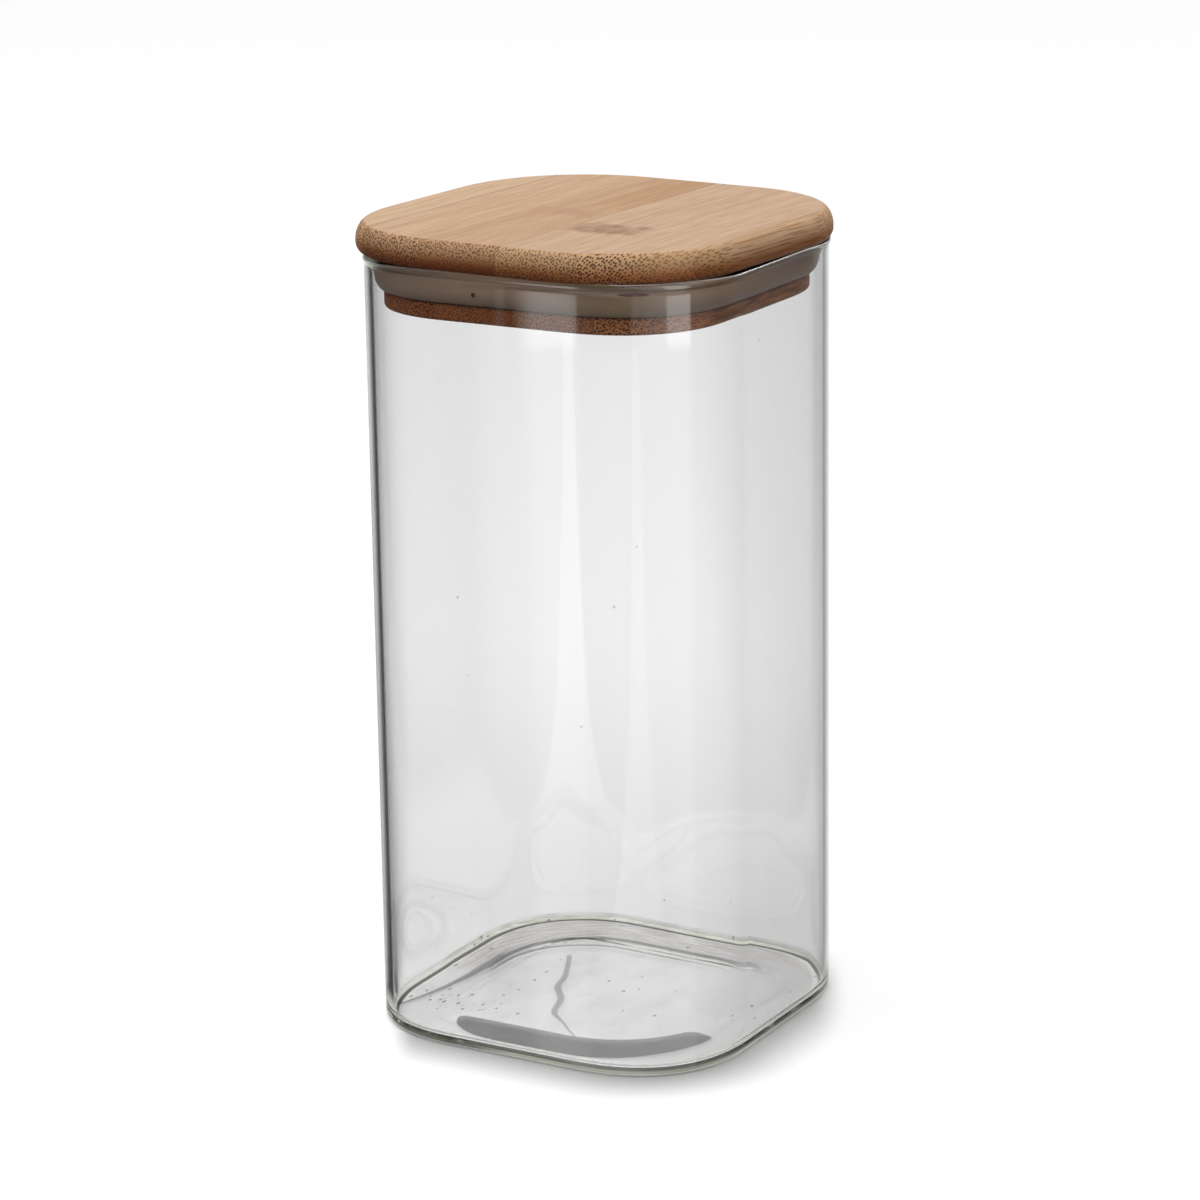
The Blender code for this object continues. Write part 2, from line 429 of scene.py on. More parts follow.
def ramp(tree, value, low, high, stops):
    """A value read from a short list of (place, strength) stops."""
    most = max(strength for _, strength in stops)
    place = put(tree, "ShaderNodeMapRange", {"Value": value, "From Min": low, "From Max": high})
    node = put(tree, "ShaderNodeValToRGB", {"Fac": place.outputs["Result"]})
    elements = node.color_ramp.elements
    elements.remove(elements[1])
    for number, (where, strength) in enumerate(stops):
        share = (where - low) / (high - low)
        element = elements[0] if number == 0 else elements.new(share)
        element.position = share
        element.color = (strength / most,) * 3 + (1.0,)
    grey = put(tree, "ShaderNodeSeparateColor", {0: node.outputs["Color"]}).outputs[0]
    return times(tree, grey, most)


def blend(tree, share, first, second, mode="MIX"):
    node = put(tree, "ShaderNodeMix", {0: share, 6: first, 7: second}, data_type="RGBA", blend_type=mode)
    return node.outputs[2]


def noise(tree, place, scale, detail=2.0, roughness=0.5):
    node = put(
        tree,
        "ShaderNodeTexNoise",
        {"Vector": place, "Scale": scale, "Detail": detail, "Roughness": roughness},
    )
    return node.outputs["Fac"], node.outputs["Color"]


def stretch(tree, place, scale, shift=(0.0, 0.0, 0.0), turn=0.0):
    node = put(
        tree,
        "ShaderNodeMapping",
        {"Vector": place, "Scale": scale, "Location": shift, "Rotation": (0.0, 0.0, turn)},
    )
    return node.outputs["Vector"]


# Finishes


def wandering(tree, spot, shift, reach):
    """A place that wanders a little along the strip, as the fibre bundles do."""
    slow = stretch(tree, spot, (1.0, 0.35, 1.0), shift)
    _, sway = noise(tree, slow, 70.0, 1.0)
    offset = vector_calc(tree, "SUBTRACT", sway, (0.5, 0.5, 0.5))
    return vector_calc(tree, "ADD", spot, vector_calc(tree, "MULTIPLY", offset, (reach,) * 3))


def bundle_ends(tree, place, strip):
    """The dots that the fibre bundles make, seen along the grain."""
    x, _, z = parts_of(tree, place)
    flat = put(tree, "ShaderNodeCombineXYZ", {0: x, 1: z, 2: 0.0})
    turned = stretch(tree, flat.outputs[0], (1.0, 1.0, 1.0), turn=0.6)
    cells = put(
        tree,
        "ShaderNodeTexVoronoi",
        {"Vector": turned, "Scale": 1.0 / (strip["spacing"] * MM), "Randomness": 0.68},
        voronoi_dimensions="2D",
    )
    pick = put(tree, "ShaderNodeSeparateColor", {0: cells.outputs["Color"]})
    size = ease(tree, pick.outputs[0], 0.0, 1.0, strip["dot"] * 0.8, strip["dot"] * 1.2)
    return ease(tree, cells.outputs["Distance"], size, times(tree, size, 0.55))


def oiled_and_shaded(tree, tone, z, thread, end_grain, low):
    """Painted shade low on the plate's sides, where they turn from the light, and the plug's tones."""
    tone = blend(tree, ease(tree, z, *SHADED_BELOW), tone, (0.8, 0.56, 0.42, 1.0), "MULTIPLY")
    tone = blend(tree, ease(tree, z, *DEEPER_SHADE_BELOW), tone, (*low, 1.0), "MULTIPLY")
    # The plug is browner and streaky along the grain, and paler on its ends
    plug_long = blend(tree, ease(tree, thread, 0.36, 0.64), (1.5, 1.36, 0.86, 1.0), (0.8, 0.7, 0.4, 1.0))
    plug_tone = blend(tree, end_grain, plug_long, (1.8, 1.88, 1.8, 1.0))
    return blend(tree, ease(tree, z, *PLUG_BELOW), tone, plug_tone, "MULTIPLY")


def bamboo_finish(number, strip, left, right):
    """One strip's bamboo: fibre bundles along the grain, dots on the end grain and lines elsewhere."""
    finish, tree, shader = new_finish(f"oiled_bamboo_{number}")
    place = put(tree, "ShaderNodeTexCoord")
    spot = stretch(tree, place.outputs["Object"], (1.0, 1.0, 1.0), turn=-GRAIN_TURN)
    x, y, z = parts_of(tree, spot)

    shift = (number * 0.37, number * 0.11, number * 0.23)
    fibre_place = wandering(tree, spot, shift, strip.get("sway", 1.6) * MM)
    dots = bundle_ends(tree, fibre_place, strip)

    # Bundles are dense and dark towards the stem's outer side
    axis, near, far, near_share, far_share = strip["dense"]
    along = {"x": x, "z": z}[axis]
    dense = ease(tree, along, near * MM, far * MM, near_share, far_share)
    dots = times(tree, dots, dense)

    # Fine fibres and slow changes of tone
    thread, _ = noise(tree, stretch(tree, fibre_place, (1.0, 0.04, 1.0), shift), 1500.0, 3.0, 0.66)
    band, _ = noise(tree, stretch(tree, fibre_place, (1.0, 0.03, 1.0), shift), 330.0, 2.0)
    cloud, _ = noise(tree, stretch(tree, spot, (1.0, 0.3, 1.0), shift), 45.0, 2.0)

    _, facing, _ = parts_of(tree, place.outputs["Normal"])
    end_grain = ease(tree, absolute(tree, facing), 0.1, 0.34)

    light = strip["long"]
    dark = tuple(part * share for part, share in zip(light, (0.74, 0.675, 0.59)))
    long_tone = blend(tree, ease(tree, thread, 0.34, 0.7, 0.0, 0.62), (*light, 1.0), (*dark, 1.0))
    long_tone = blend(tree, ease(tree, band, 0.42, 0.68, 0.0, 0.4), long_tone, (*dark, 1.0))
    long_tone = blend(tree, times(tree, dots, strip.get("lines", 0.13)), long_tone, (*strip["line"], 1.0))
    if "shade" in strip:
        long_tone = shaded(tree, long_tone, x, y, strip["shade"])
    end_light = strip["end"]
    end_dark = tuple(part * share for part, share in zip(end_light, (0.86, 0.8, 0.72)))
    end_tone = blend(tree, cloud, (*end_light, 1.0), (*end_dark, 1.0))
    if "stain" in strip:
        low, high, colour, share = strip["stain"]
        on_plate = ease(tree, z, *STAINED_ABOVE)
        fade = times(tree, ease(tree, z, high * MM, low * MM, 0.0, share), on_plate)
        end_tone = blend(tree, fade, end_tone, (*colour, 1.0))
        dots = times(tree, dots, minus(tree, 1.0, times(tree, fade, 0.45)))
    end_tone = blend(tree, dots, end_tone, (*strip["dot_tone"], 1.0))
    tone = blend(tree, end_grain, long_tone, end_tone)
    tone = blend(tree, ease(tree, cloud, 0.35, 0.75, 0.0, 0.25), tone, (*strip["warm"], 1.0), "MULTIPLY")
    # Painted shade low on the plate's sides, and the plug's tones
    tone = oiled_and_shaded(tree, tone, z, thread, end_grain, strip["low"])
    if "knot" in strip:
        tone = knot_mark(tree, tone, spot, x, y, thread, (left, right), strip["knot"])

    # Glue lines
    for edge, strength in ((left, strip["glue"][0]), (right, strip["glue"][1])):
        away = absolute(tree, minus(tree, x, edge))
        line = ease(tree, away, 0.34 * MM, 0.05 * MM, 0.0, strength)
        tone = blend(tree, line, tone, (0.17, 0.09, 0.045, 1.0))

    tree.links.new(tone, shader.inputs["Base Color"])
    rough = ease(tree, thread, 0.3, 0.7, 0.44, 0.6)
    tree.links.new(rough, shader.inputs["Roughness"])
    shader.inputs["Specular IOR Level"].default_value = 0.2
    relief = plus(tree, times(tree, thread, 0.7), times(tree, dots, -0.5))
    bump = put(tree, "ShaderNodeBump", {"Height": relief, "Strength": 0.3, "Distance": 0.07 * MM})
    tree.links.new(bump.outputs[0], shader.inputs["Normal"])
    return finish


def shaded(tree, tone, x, y, shade):
    """A darker stretch of a strip, from one place across the grain to another and from one along it."""
    start, end, first, last, colour = shade
    begins = ease(tree, x, start * MM, (start + 3.0) * MM)
    stops = ease(tree, x, (end + 1.5) * MM, end * MM)
    along = ease(tree, y, first * MM, last * MM)
    return blend(tree, times(tree, begins, stops, along), tone, (*colour, 1.0), "MULTIPLY")


def knot_mark(tree, tone, spot, x, y, thread, edges, knot):
    """The mark that a stem's joint leaves across a strip: a soft brown band with wavy edges."""
    low, high, colour, share, lean = knot
    middle = (edges[0] + edges[1]) / 2
    half = (edges[1] - edges[0]) / 2
    fray, _ = noise(tree, stretch(tree, spot, (1.0, 0.3, 1.0), (0.013, 0.0, 0.0)), 520.0, 2.0, 0.6)
    wave, _ = noise(tree, stretch(tree, spot, (1.0, 0.2, 1.0), (0.0, high * MM, 0.0)), 150.0, 1.0)
    moved = plus(tree, y, times(tree, minus(tree, fray, 0.5), 3.4 * MM))
    moved = plus(tree, moved, times(tree, minus(tree, wave, 0.5), 9.0 * MM))
    moved = plus(tree, moved, times(tree, minus(tree, x, middle), lean))
    rise = ease(tree, moved, low * MM, (low + 3.0) * MM)
    fall = ease(tree, moved, high * MM, (high - 3.4) * MM)
    aside = ease(tree, absolute(tree, minus(tree, x, middle)), half, half - 2.6 * MM, 0.35, 1.0)
    patchy, _ = noise(tree, stretch(tree, spot, (1.0, 0.45, 1.0)), 340.0, 3.0, 0.65)
    mark = times(tree, rise, fall, aside, ease(tree, patchy, 0.3, 0.66, 0.35, 1.0))
    mark = times(tree, mark, ease(tree, thread, 0.25, 0.75, share * 0.7, share))
    return blend(tree, mark, tone, (*colour, 1.0))


def glass_finish():
    finish, tree, shader = new_finish("blown_glass")
    shader.inputs["Roughness"].default_value = 0.0
    shader.inputs["IOR"].default_value = 1.5
    shader.inputs["Transmission Weight"].default_value = 1.0
    spot = put(tree, "ShaderNodeTexCoord").outputs["Object"]
    x, y, z = parts_of(tree, spot)
    inset = times(tree, rounded_box(tree, x, y, GLASS_HALF, GLASS_HALF, GLASS_ROUND), -1.0)

    # The thick heel is faintly green, and the rest almost clear
    heel = times(tree, ease(tree, z, 2.4 * MM, 1.2 * MM), ease(tree, inset, 1.8 * MM, 0.7 * MM))
    lower = ease(tree, z, 110.0 * MM, 10.0 * MM)
    clear = blend(tree, lower, (0.977, 0.975, 0.978, 1.0), (0.98, 0.977, 0.98, 1.0))
    tone = blend(tree, heel, clear, (0.86, 0.88, 0.76, 1.0))
    tone = blend(tree, scuffs(tree, spot, x, z), tone, (0.55, 0.54, 0.53, 1.0))
    tone = blend(tree, back_streaks(tree, x, y, z), tone, (0.5, 0.465, 0.43, 1.0))
    # Painted shade and a painted glow: lines at the back of the jar's floor
    dark, thin, bright = painted_back_lines(tree, x, y, z)
    tone = blend(tree, dark, tone, (0.1, 0.105, 0.1, 1.0))
    tone = blend(tree, thin, tone, (0.16, 0.15, 0.145, 1.0))
    # Painted shade: a grey crescent at the front of the jar's floor
    tone = blend(tree, base_shadow(tree, x, y, z), tone, (0.15, 0.146, 0.143, 1.0))
    tone = blend(tree, flow_line(tree, x, y, z), tone, (0.16, 0.16, 0.16, 1.0))
    tone = blend(tree, seeds(tree, spot, x, y, z), tone, (0.1, 0.1, 0.095, 1.0))
    tree.links.new(tone, shader.inputs["Base Color"])

    # Painted light: a glow in the heel, at the rim and along a line on the floor
    glow_strength = painted_glow(tree, x, y, z, inset, heel, bright)
    shader.inputs["Emission Color"].default_value = (0.97, 1.0, 0.86, 1.0)
    tree.links.new(glow_strength, shader.inputs["Emission Strength"])

    swell, _ = noise(tree, stretch(tree, spot, (1.0, 1.0, 0.3)), 16.0, 1.0)
    ripple, _ = noise(tree, stretch(tree, spot, (1.0, 1.0, 0.25)), 60.0, 1.0)
    relief = plus(tree, swell, times(tree, ripple, 0.14))
    bump = put(tree, "ShaderNodeBump", {"Height": relief, "Strength": 1.0, "Distance": 0.12 * MM})
    tree.links.new(bump.outputs[0], shader.inputs["Normal"])
    body = put(tree, "ShaderNodeVolumeAbsorption", {"Color": (0.5, 0.56, 0.48, 1.0), "Density": 7.0})
    tree.links.new(body.outputs[0], tree.nodes["Material Output"].inputs["Volume"])
    return finish


def painted_glow(tree, x, y, z, inset, heel, bright):
    """Painted light: a glow where light would gather in thick glass and come out, in the heel and at the
    rim.
    """
    aside = seen_aside(tree, x, y)
    behind = seen_behind(tree, x, y)
    fillet = times(
        tree,
        ease(tree, inset, WALL + 0.25 * MM, WALL + 0.8 * MM),
        ease(tree, inset, WALL + 3.1 * MM, WALL + 2.3 * MM),
        ease(tree, z, 1.35 * MM, 1.48 * MM),
        ease(tree, z, 2.4 * MM, 1.9 * MM),
        ease(tree, behind, -14.0 * MM, 6.0 * MM),
        ease(tree, absolute(tree, aside), 12.0 * MM, 34.0 * MM, 0.08, 0.17),
    )
    front = times(
        tree,
        ease(tree, behind, -12.0 * MM, -30.0 * MM),
        ease(tree, aside, -36.0 * MM, -24.0 * MM),
        ease(tree, aside, 44.0 * MM, 34.0 * MM),
        ease(tree, z, 1.9 * MM, 1.3 * MM),
        ease(tree, inset, 2.0 * MM, 1.0 * MM),
    )
    rim = times(tree, ease(tree, z, 195.4 * MM, 196.2 * MM), ease(tree, aside, -52.5 * MM, -56.0 * MM))
    return plus(
        tree,
        times(tree, rim, RIM_GLOW),
        times(tree, heel, HEEL_GLOW),
        times(tree, front, FRONT_GLOW),
        fillet,
        times(tree, bright, LINE_GLOW),
    )


def on_floor(tree, z):
    """Only the surface of the jar's floor, inside the jar."""
    return times(tree, ease(tree, z, 2.7 * MM, 2.4 * MM), ease(tree, z, 0.8 * MM, 1.1 * MM))


def floor_box(tree, x, y, box):
    """How far a place lies outside one of the round boxes that the floor's tones follow."""
    middle, half_x, half_y, corner = (length * MM for length in box)
    return rounded_box(tree, minus(tree, x, middle), y, half_x, half_y, corner)


def base_shadow(tree, x, y, z):
    """Painted shade: the grey crescent along the front of the jar's floor, where the dished base starts."""
    left = floor_box(tree, x, y, CRESCENT_LEFT)
    outer = calc(tree, "MAXIMUM", left, floor_box(tree, x, y, CRESCENT_RIGHT))
    inner = times(tree, floor_box(tree, x, y, CRESCENT_INSIDE), -1.0)
    right_end = plus(tree, y, 16.4 * MM)
    left_end = minus(tree, -24.4 * MM, x)
    band = calc(tree, "MAXIMUM", outer, inner)
    region = rounded_join(tree, band, calc(tree, "MAXIMUM", right_end, left_end), 2.6 * MM)
    return times(tree, ease(tree, region, 0.05 * MM, -0.4 * MM), on_floor(tree, z))


def painted_back_lines(tree, x, y, z):
    """Lines along the back of the jar's floor, where the dished base starts: dark, thin and bright.

    The dark and the thin one are painted shade, the bright one a painted glow.
    """
    at_back = ease(tree, seen_behind(tree, x, y), 8.0 * MM, 22.0 * MM)
    floor = times(tree, on_floor(tree, z), at_back)
    out = floor_box(tree, x, y, DISH_LINE)
    fade = ease(tree, x, 48.0 * MM, 24.0 * MM, 0.5, 0.95)
    dark = times(tree, ease(tree, absolute(tree, out), 1.7 * MM, 0.7 * MM), fade, floor)
    dark = calc(tree, "MAXIMUM", dark, side_line(tree, x, y, z))
    inner = floor_box(tree, x, y, THIN_LINE)
    thin = times(tree, ease(tree, absolute(tree, inner), 0.9 * MM, 0.35 * MM), floor, 0.9)
    bright = times(tree, ease(tree, inner, 0.9 * MM, 1.6 * MM), ease(tree, out, -1.6 * MM, -2.2 * MM), floor)
    return dark, thin, bright


def side_line(tree, x, y, z):
    """The painted dark line's left end, which runs along the side and flares out towards the corner."""
    past = calc(tree, "MAXIMUM", minus(tree, -5.0 * MM, y), 0.0)
    flare = times(tree, calc(tree, "POWER", calc(tree, "DIVIDE", past, 30.0 * MM), 1.5), 6.0 * MM)
    off = absolute(tree, plus(tree, x, flare, 37.4 * MM))
    reach = ease(tree, y, -30.0 * MM, 6.0 * MM, 0.9 * MM, 2.3 * MM)
    line = ease(tree, off, reach, times(tree, reach, 0.4))
    ends = times(tree, ease(tree, y, -37.0 * MM, -33.0 * MM), ease(tree, y, 18.0 * MM, 8.0 * MM))
    return times(tree, line, ends, on_floor(tree, z), 0.85)


def back_streaks(tree, x, y, z):
    """Brownish streaks in the jar's floor at the back, between the heel and the dished base."""
    out = floor_box(tree, x, y, DISH_LINE)
    aside = seen_aside(tree, x, y)
    drawn = put(tree, "ShaderNodeCombineXYZ", {0: times(tree, out, 9.0), 1: aside, 2: 0.0})
    streak, _ = noise(tree, drawn.outputs[0], 110.0, 3.0, 0.6)
    return times(
        tree,
        ease(tree, streak, 0.36, 0.64, 0.2, 0.85),
        ease(tree, out, 0.8 * MM, 2.2 * MM),
        ease(tree, seen_behind(tree, x, y), 10.0 * MM, 26.0 * MM),
        on_floor(tree, z),
    )


def sine(tree, way, period):
    return calc(tree, "SINE", times(tree, way, 2 * pi / period))


def flow_line(tree, x, y, z):
    """A wavy line that the gather left in the jar's floor, from the back to the crescent."""
    across, along = 0.522, -0.852
    length = 61.0 * MM
    back_x = plus(tree, x, 22.1 * MM)
    back_y = minus(tree, y, 18.2 * MM)
    way = plus(tree, times(tree, back_x, across), times(tree, back_y, along))
    off = minus(tree, times(tree, back_x, -along), times(tree, back_y, -across))
    arch = times(tree, sine(tree, way, 2 * length), 3.6 * MM)
    swing = times(tree, sine(tree, way, length), 1.2 * MM)
    turn = sine(tree, minus(tree, way, 28.7 * MM), 21.0 * MM)
    span = times(tree, ease(tree, way, 12.0 * MM, 28.0 * MM), ease(tree, way, 57.0 * MM, 41.0 * MM))
    kink = times(tree, turn, span, 0.95 * MM)
    centre = plus(tree, minus(tree, swing, arch), kink)
    away = absolute(tree, minus(tree, off, centre))
    swell = ease(tree, way, 4.0 * MM, 24.0 * MM, 0.6 * MM, 1.25 * MM)
    width = calc(tree, "MINIMUM", swell, ease(tree, way, 38.0 * MM, 56.0 * MM, 1.25 * MM, 0.4 * MM))
    line = ease(tree, away, width, times(tree, width, 0.45))
    ends = times(tree, ease(tree, way, 0.0, 3.0 * MM), ease(tree, way, 62.0 * MM, 59.0 * MM))
    return times(tree, line, ends, on_floor(tree, z), 0.8)


def seeds(tree, spot, x, y, z):
    """Tiny seeds and specks in the glass, most of them in the floor towards its left corner."""
    cells = put(tree, "ShaderNodeTexVoronoi", {"Vector": spot, "Scale": 230.0})
    pick = put(tree, "ShaderNodeSeparateColor", {0: cells.outputs["Color"]})
    few = ease(tree, z, 4.0 * MM, 30.0 * MM, 0.8, 0.975)
    wanted = calc(tree, "GREATER_THAN", pick.outputs[0], few)
    size = ease(tree, pick.outputs[1], 0.0, 1.0, 0.04, 0.08)
    speck = calc(tree, "LESS_THAN", cells.outputs["Distance"], size)
    in_wall = times(tree, speck, wanted, 0.6)

    drawn = stretch(tree, spot, (1.0, 0.62, 1.0), turn=radians(24.0))
    grains = put(tree, "ShaderNodeTexVoronoi", {"Vector": drawn, "Scale": 520.0}, voronoi_dimensions="2D")
    choice = put(tree, "ShaderNodeSeparateColor", {0: grains.outputs["Color"]})
    near_x = calc(tree, "DIVIDE", plus(tree, x, 31.0 * MM), 15.0 * MM)
    near_y = calc(tree, "DIVIDE", plus(tree, y, 25.0 * MM), 6.5 * MM)
    near = plus(tree, square(tree, near_x), square(tree, near_y))
    crowd = ease(tree, near, 0.3, 1.6, 0.5, 0.965)
    chosen = calc(tree, "GREATER_THAN", choice.outputs[0], crowd)
    reach = ease(tree, choice.outputs[1], 0.0, 1.0, 0.1, 0.26)
    dot = calc(tree, "LESS_THAN", grains.outputs["Distance"], reach)
    in_floor = times(tree, dot, chosen, on_floor(tree, z), 0.8)
    return calc(tree, "MAXIMUM", in_wall, in_floor)


def scuffs(tree, spot, x, z):
    """Faint cloudy marks on the jar's floor, as use leaves, and a darker patch towards the right."""
    cloud, _ = noise(tree, stretch(tree, spot, (1.0, 0.6, 1.0)), 90.0, 4.0, 0.7)
    darker_right = ease(tree, x, 14.0 * MM, 44.0 * MM, 0.0, 0.5)
    marks = times(tree, ease(tree, cloud, 0.46, 0.7), 0.26)
    return times(tree, calc(tree, "MAXIMUM", marks, darker_right), on_floor(tree, z))


def silicone_finish():
    finish, tree, shader = new_finish("clear_silicone")
    spot = put(tree, "ShaderNodeTexCoord").outputs["Object"]
    x, y, z = parts_of(tree, spot)
    cloud, _ = noise(tree, spot, 30.0, 2.0)
    tone = blend(tree, cloud, (0.46, 0.33, 0.25, 1.0), (0.52, 0.385, 0.295, 1.0))
    tone = blend(tree, ease(tree, x, 41.0 * MM, 48.0 * MM), tone, (0.84, 0.76, 0.68, 1.0), "MULTIPLY")
    tone = blend(tree, ease(tree, x, -24.0 * MM, -42.0 * MM), tone, (0.76, 0.76, 0.76, 1.0), "MULTIPLY")
    # Painted light brightens its upper part, under the plate
    upper = times(
        tree,
        ease(tree, z, 190.5 * MM, 196.0 * MM),
        ease(tree, x, -32.0 * MM, 0.0),
        ease(tree, y, 6.0 * MM, -36.0 * MM, 0.2, 1.0),
    )
    tone = blend(tree, upper, tone, (1.7, 1.65, 1.6, 1.0), "MULTIPLY")
    # The bamboo behind shows through a little near the front corner
    through = times(
        tree,
        ease(tree, x, 14.0 * MM, 22.0 * MM),
        ease(tree, x, 44.0 * MM, 34.0 * MM, 0.0, 0.6),
        ease(tree, y, -30.0 * MM, -38.0 * MM),
    )
    tone = blend(tree, through, tone, (0.5, 0.36, 0.2, 1.0))
    # A small vent and a flat spot where the ring was parted from its sprue
    vent = marked(tree, (x, y, z), (-7.0, -47.7, 192.6), (0.62, 2.0, 0.68))
    tone = blend(tree, vent, tone, (0.1, 0.05, 0.028, 1.0))
    sprue = marked(tree, (x, y, z), (34.3, -44.1, 195.6), (3.9, 4.5, 0.62))
    tone = blend(tree, sprue, tone, (0.24, 0.06, 0.03, 1.0))
    tree.links.new(tone, shader.inputs["Base Color"])
    shader.inputs["Roughness"].default_value = 0.4
    shader.inputs["Specular IOR Level"].default_value = 0.2
    shader.inputs["IOR"].default_value = 1.41
    shader.inputs["Subsurface Weight"].default_value = 0.5
    shader.inputs["Subsurface Radius"].default_value = (1.0, 0.85, 0.7)
    shader.inputs["Subsurface Scale"].default_value = 1.5 * MM
    soft, _ = noise(tree, spot, 120.0, 1.0)
    bump = put(tree, "ShaderNodeBump", {"Height": soft, "Strength": 0.3, "Distance": 0.05 * MM})
    tree.links.new(bump.outputs[0], shader.inputs["Normal"])
    return finish


def marked(tree, place, middle, reach):
    """A soft-edged oval spot about a place in mm, with its half sizes."""
    parts = []
    for value, centre, half in zip(place, middle, reach):
        away = calc(tree, "DIVIDE", minus(tree, value, centre * MM), half * MM)
        parts.append(square(tree, absolute(tree, away)))
    return ease(tree, plus(tree, *parts), 1.15, 0.6)


def dress(piece, finish, body, slot, *nodes):
    """Gives a finished piece its material and its place in the frame."""
    piece.data.materials.clear()
    piece.data.materials.append(finish)
    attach(piece, body)
    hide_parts(*nodes)
    return piece


# Pieces


def make_glass():
    """The blown jar: one wall that runs from the foot round the rim's bead and back to the floor."""
    piece = start_outline("blown_glass_jar", GLASS_HALF, GLASS_CORNER, GLASS_PROFILE, HEEL)
    band = 0.9 * MM
    thicken(band)
    height = GLASS_HIGH.z
    bead = (WALL + BEAD_OUT + BEAD_IN) / 2
    bead_middle = height - bead
    bead_inset = bead - BEAD_OUT
    outside = [
        (0.0, HEEL + band),
        (0.0, height - 2.8 * MM),
        (0.0, height - 2.3 * MM),
        (-0.06 * MM, height - 1.9 * MM),
        (-0.17 * MM, height - 1.55 * MM),
    ]
    rim = arc(-bead, bead, bead_inset, bead_middle, 16, -12.0, 192.0)
    inner_base = FLOOR_THICKNESS + INNER_HEEL
    inside = [
        (WALL, height - 1.9 * MM),
        (WALL, height - 2.6 * MM),
        (WALL, inner_base + 0.8 * MM),
        (WALL, inner_base),
    ]
    turn = arc(-INNER_HEEL, -INNER_HEEL, WALL + INNER_HEEL, inner_base, 12)[1:]
    floor_edge = WALL + INNER_HEEL + FLOOR_LEVEL
    floor = slope(floor_edge, FLOOR_THICKNESS, FLOOR_RISE)
    pick_cap(piece, True)
    follow(outside + rim + inside + turn + floor, GLASS_HALF, 1)
    heel = arc(-HEEL, -HEEL, HEEL, HEEL, 10)
    foot = [(HEEL + 0.4 * MM, 0.0)] + slope(HEEL + FOOT_RING + SLOPE_START, 0.0, PUSH_UP)
    pick_cap(piece, False)
    follow(heel + foot, GLASS_HALF, -1)
    finish_shape(piece, 50.0)
    return dress(piece, glass_finish(), "jar", "clear_glass", "glass_body")


def make_seal():
    """The silicone ring, whose rounded lower part draws in to the lip."""
    low, high = SEAL_LOW.z, SEAL_HIGH.z
    half = GLASS_HALF - SEAL_OUT
    piece = start_outline("clear_silicone_ring", half, SEAL_CORNER, GLASS_PROFILE, low + SEAL_CURVE)
    band = 0.6 * MM
    thicken(band)
    side = [
        (0.0, low + SEAL_CURVE + band),
        (0.0, high - 1.0 * MM),
        (0.12 * MM, high - 0.5 * MM),
        (0.5 * MM, high - 0.1 * MM),
        (1.0 * MM, high),
        (SEAL_IN - SEAL_OUT, high),
    ]
    pick_cap(piece, True)
    follow(side, half, 1)
    bpy.ops.mesh.delete(type="ONLY_FACE")
    width = LIP_INSET - SEAL_OUT
    curve = arc(-width, -SEAL_CURVE, width, low + SEAL_CURVE, 12)
    pick_cap(piece, False)
    follow(curve + [(SEAL_IN - SEAL_OUT, low)], half, -1)
    bpy.ops.mesh.delete(type="ONLY_FACE")
    bridge_openings()
    finish_shape(piece, 40.0)
    settle(piece, SEAL_SHIFT)
    return dress(piece, silicone_finish(), "lid", "silicone", "seal_ring")


def make_board():
    """The milled board, plate and plug in one, before it is parted into its strips."""
    half = GLASS_HALF - LIP_INSET
    plug = start_outline("plug", half, LIP_CORNER, GLASS_PROFILE, LIP_LOW + LIP_ROUND)
    band = 0.5 * MM
    thicken(band)
    side = [
        (0.0, LIP_LOW + LIP_ROUND + band),
        (0.0, LIP_HIGH - 0.5 * MM),
        (0.05 * MM, LIP_HIGH - 0.15 * MM),
        (0.25 * MM, LIP_HIGH),
        (NECK_INSET - LIP_INSET, LIP_HIGH),
        (NECK_INSET - LIP_INSET, PLATE_LOW),
    ]
    pick_cap(plug, True)
    follow(side, half, 1)
    bpy.ops.mesh.delete(type="ONLY_FACE")
    under = arc(-LIP_ROUND, -LIP_ROUND, LIP_ROUND, LIP_LOW + LIP_ROUND, 6)
    pick_cap(plug, False)
    follow(under + [(LIP_ROUND + 0.4 * MM, LIP_LOW)], half, -1)
    bpy.ops.object.mode_set(mode="OBJECT")
    settle(plug, PLUG_SHIFT)

    plate = start_outline("bamboo_board", PLATE_HALF, PLATE_CORNER, PLATE_PROFILE, PLATE_WIDEST)
    seam = 0.02 * MM
    thicken(seam)
    rise = PLATE_HIGH - PLATE_WIDEST - seam
    over = arc(-TOP_ROUND, rise, TOP_ROUND, PLATE_WIDEST + seam, 12)
    pick_cap(plate, True)
    follow(over + [(TOP_ROUND + 0.5 * MM, PLATE_HIGH)], PLATE_HALF, 1)
    below = arc(-UNDER_ROUND, PLATE_LOW - PLATE_WIDEST, UNDER_ROUND, PLATE_WIDEST, 8)
    pick_cap(plate, False)
    follow(below + [(UNDER_ROUND + 0.4 * MM, PLATE_LOW)], PLATE_HALF, -1)
    bpy.ops.mesh.delete(type="ONLY_FACE")
    bpy.ops.object.mode_set(mode="OBJECT")
    settle(plate, PLATE_SHIFT, PLATE_TURN)

    pick_only(plate)
    plug.select_set(True)
    bpy.ops.object.join()
    bpy.ops.object.mode_set(mode="EDIT")
    bridge_openings()
    return finish_shape(plate)
